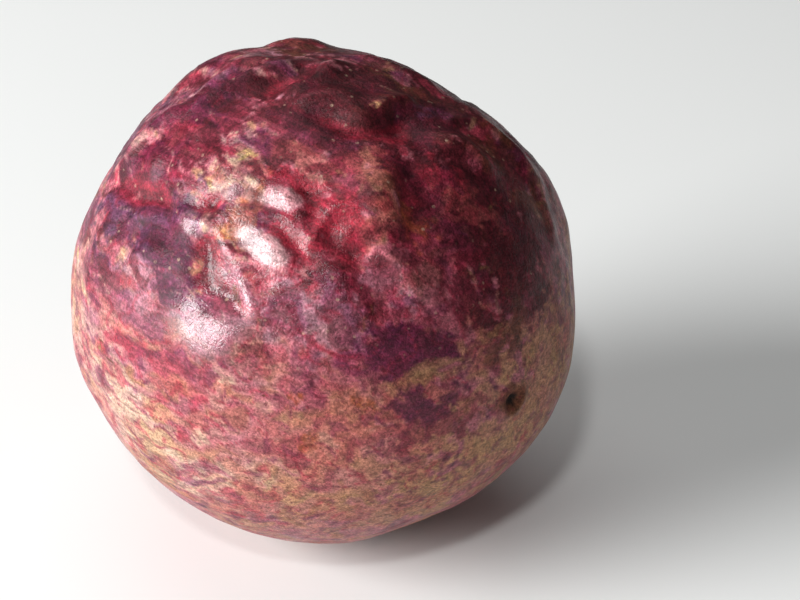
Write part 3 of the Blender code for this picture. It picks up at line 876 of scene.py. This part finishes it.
def rind_material():
    n = Nodes("rind")
    coordinates = n.tree.nodes.new("ShaderNodeTexCoord").outputs["Object"]
    lengthways = n.attribute("fibre", "Vector")
    dried = n.attribute("dried", "Fac")
    fresh = n.range(dried, 0.0, 1.0, 1.0, 0.0)
    grain = n.noise(coordinates, 0.22, 2.0, 0.7)
    cracks = n.cracks(coordinates, 0.75)

    colour = n.attribute("tint", "Color")
    blotches = n.noise(coordinates, 1.1, 5.0, 0.8)
    blotched = n.brightened(colour, n.range(blotches, 0.32, 0.68, 0.55, 1.5))
    colour = n.mix(n.range(dried, 0.0, 1.0, 0.25, 0.8), colour, blotched)
    fibres = n.noise(lengthways, 0.55, 3.0, 0.6)
    colour = n.brightened(colour, n.range(fibres, 0.30, 0.72, 1.35, 0.70))
    speckle = n.cells(coordinates, 0.20)[1]
    colour = n.brightened(colour, n.range(speckle, 0.1, 0.9, 0.72, 1.30))

    # Pale dots over the dried rind, fine dark flecks everywhere, and pores like dashes on the rest.
    apart, pick = n.cells(coordinates, 1.25)
    dots = n.times(n.range(apart, 0.20, 0.09, 0.0, 0.6), n.range(pick, 0.55, 0.70, 0.0, 1.0))
    dots = n.times(dots, n.range(grain, 0.40, 0.55, 0.2, 1.0))
    colour = n.mix(n.times(dots, dried), colour, RIND_COLOURS["cream"])
    apart, pick = n.cells(coordinates, 0.55)
    flecks = n.times(n.range(apart, 0.42, 0.20, 0.0, 0.45), n.range(pick, 0.60, 0.70, 0.0, 1.0))
    colour = n.mix(flecks, colour, RIND_COLOURS["wine"])
    apart, pick = n.cells(lengthways, 1.3)
    pores = n.times(n.range(apart, 0.13, 0.08, 0.0, 0.75), n.range(pick, 0.50, 0.55, 0.0, 1.0))
    colour = n.mix(n.times(pores, fresh), colour, RIND_COLOURS["umber"])
    n.link(colour, n.shader.inputs["Base Color"])

    shine = n.noise(coordinates, 1.6, 3.0)
    dull = n.sum(n.attribute("dull", "Fac"), n.range(shine, 0.3, 0.7, -0.07, 0.07))
    n.link(dull, n.shader.inputs["Roughness"])
    sheen = n.range(n.attribute("dull", "Fac"), GLOSSY, DULL, FACET_SHEEN, DULL_SHEEN)
    n.link(sheen, n.shader.inputs["Specular IOR Level"])

    skin = n.bump(n.noise(coordinates, 1.3, 2.0), 0.12, 0.4)
    skin = n.bump(n.range(cracks, 0.0, 0.18, 0.0, 1.0), 0.03, 0.45, skin)
    skin = n.bump(grain, 0.10, 0.55, skin)
    n.link(skin, n.shader.inputs["Normal"])
    return n.material


# ---------------------------------------------------------------------------------------------
# The fine rind

FINE_SQUARES = 124  # squares along each edge of the cube that is blown up into the ball
WRINKLES = (0.14, 1.5)  # height of the finest wrinkles of the crown, and how far apart they lie
PEEL = (0.03, 2.2)  # the same for the faint unevenness of the rest


def wrinkle_rise(d):
    """Fine creases over the dried crown and a faint unevenness everywhere."""
    places = along_fruit(wandered(d, 1.0, 3.0, 71))
    share = crown_share(d) * (1.0 - 0.85 * ramp(-0.1, 0.5, d @ face_axes()[2]))
    crown = -np.abs(field(places, WRINKLES[1], 81)) * 2.0 * WRINKLES[0] * share
    return crown + PEEL[0] * 2.0 * field(d * BODY_RADIUS, PEEL[1], 91)


def fitted(points):
    """The points, in millimetres, drawn in to the CAD model's box, with the flat spot at 0."""
    low, high = points.min(0), points.max(0)
    cad_low, cad_high = (np.array(corner) / MM for corner in cad_box)
    share = (cad_high - cad_low)[:2] / (high - low)[:2]
    points[:, :2] = cad_low[:2] + (points[:, :2] - low[:2]) * share
    points[:, 2] = points[:, 2] * cad_high[2] / high[2]
    return points


def add_attributes(data):
    places = np.array([v.co[:] for v in data.vertices]) / MM
    directions = unit(places - np.array((0.0, 0.0, middle_height())))
    tint = data.attributes.new("tint", "FLOAT_COLOR", "POINT")
    colours = np.column_stack((rind_tint(directions), np.ones(len(places))))
    tint.data.foreach_set("color", colours.astype(np.float32).ravel())
    dull = data.attributes.new("dull", "FLOAT", "POINT")
    dull.data.foreach_set("value", rind_roughness(directions).astype(np.float32))
    dried = data.attributes.new("dried", "FLOAT", "POINT")
    dried.data.foreach_set("value", crown_share(directions).astype(np.float32))
    fibre = data.attributes.new("fibre", "FLOAT_VECTOR", "POINT")
    fibre.data.foreach_set("vector", fibre_places(directions).astype(np.float32).ravel())


def make_rind():
    mesh = bmesh.new()
    bmesh.ops.create_cube(mesh, size=2.0)
    bmesh.ops.subdivide_edges(mesh, edges=mesh.edges[:], cuts=FINE_SQUARES - 1, use_grid_fill=True)
    cube = np.array([v.co[:] for v in mesh.verts])
    directions = gathered(unit(np.tan(cube * pi / 4.0)))
    radius = skin_radius(directions) + wrinkle_rise(directions)
    points = directions * radius[:, None]
    points[:, 2] += middle_height()
    for vertex, point in zip(mesh.verts, fitted(points) * MM):
        vertex.co = point
    bmesh.ops.bisect_plane(
        mesh, geom=mesh.verts[:] + mesh.edges[:] + mesh.faces[:], dist=CUT_TOLERANCE,
        plane_co=(0, 0, 0), plane_no=(0, 0, -1), clear_outer=True,
    )
    bmesh.ops.holes_fill(mesh, edges=[e for e in mesh.edges if e.is_boundary])
    bmesh.ops.recalc_face_normals(mesh, faces=mesh.faces[:])
    for vertex in mesh.verts:
        vertex.co.z = max(vertex.co.z, 0.0)
    data = bpy.data.meshes.new("rind")
    mesh.to_mesh(data)
    mesh.free()
    data.shade_smooth()
    add_attributes(data)
    fruit = bpy.data.objects.new("rind", data)
    bpy.context.scene.collection.objects.link(fruit)
    data.materials.append(rind_material())
    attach(fruit, "root")
    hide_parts("passion_fruit")
    return fruit


make_rind()
add_studio()
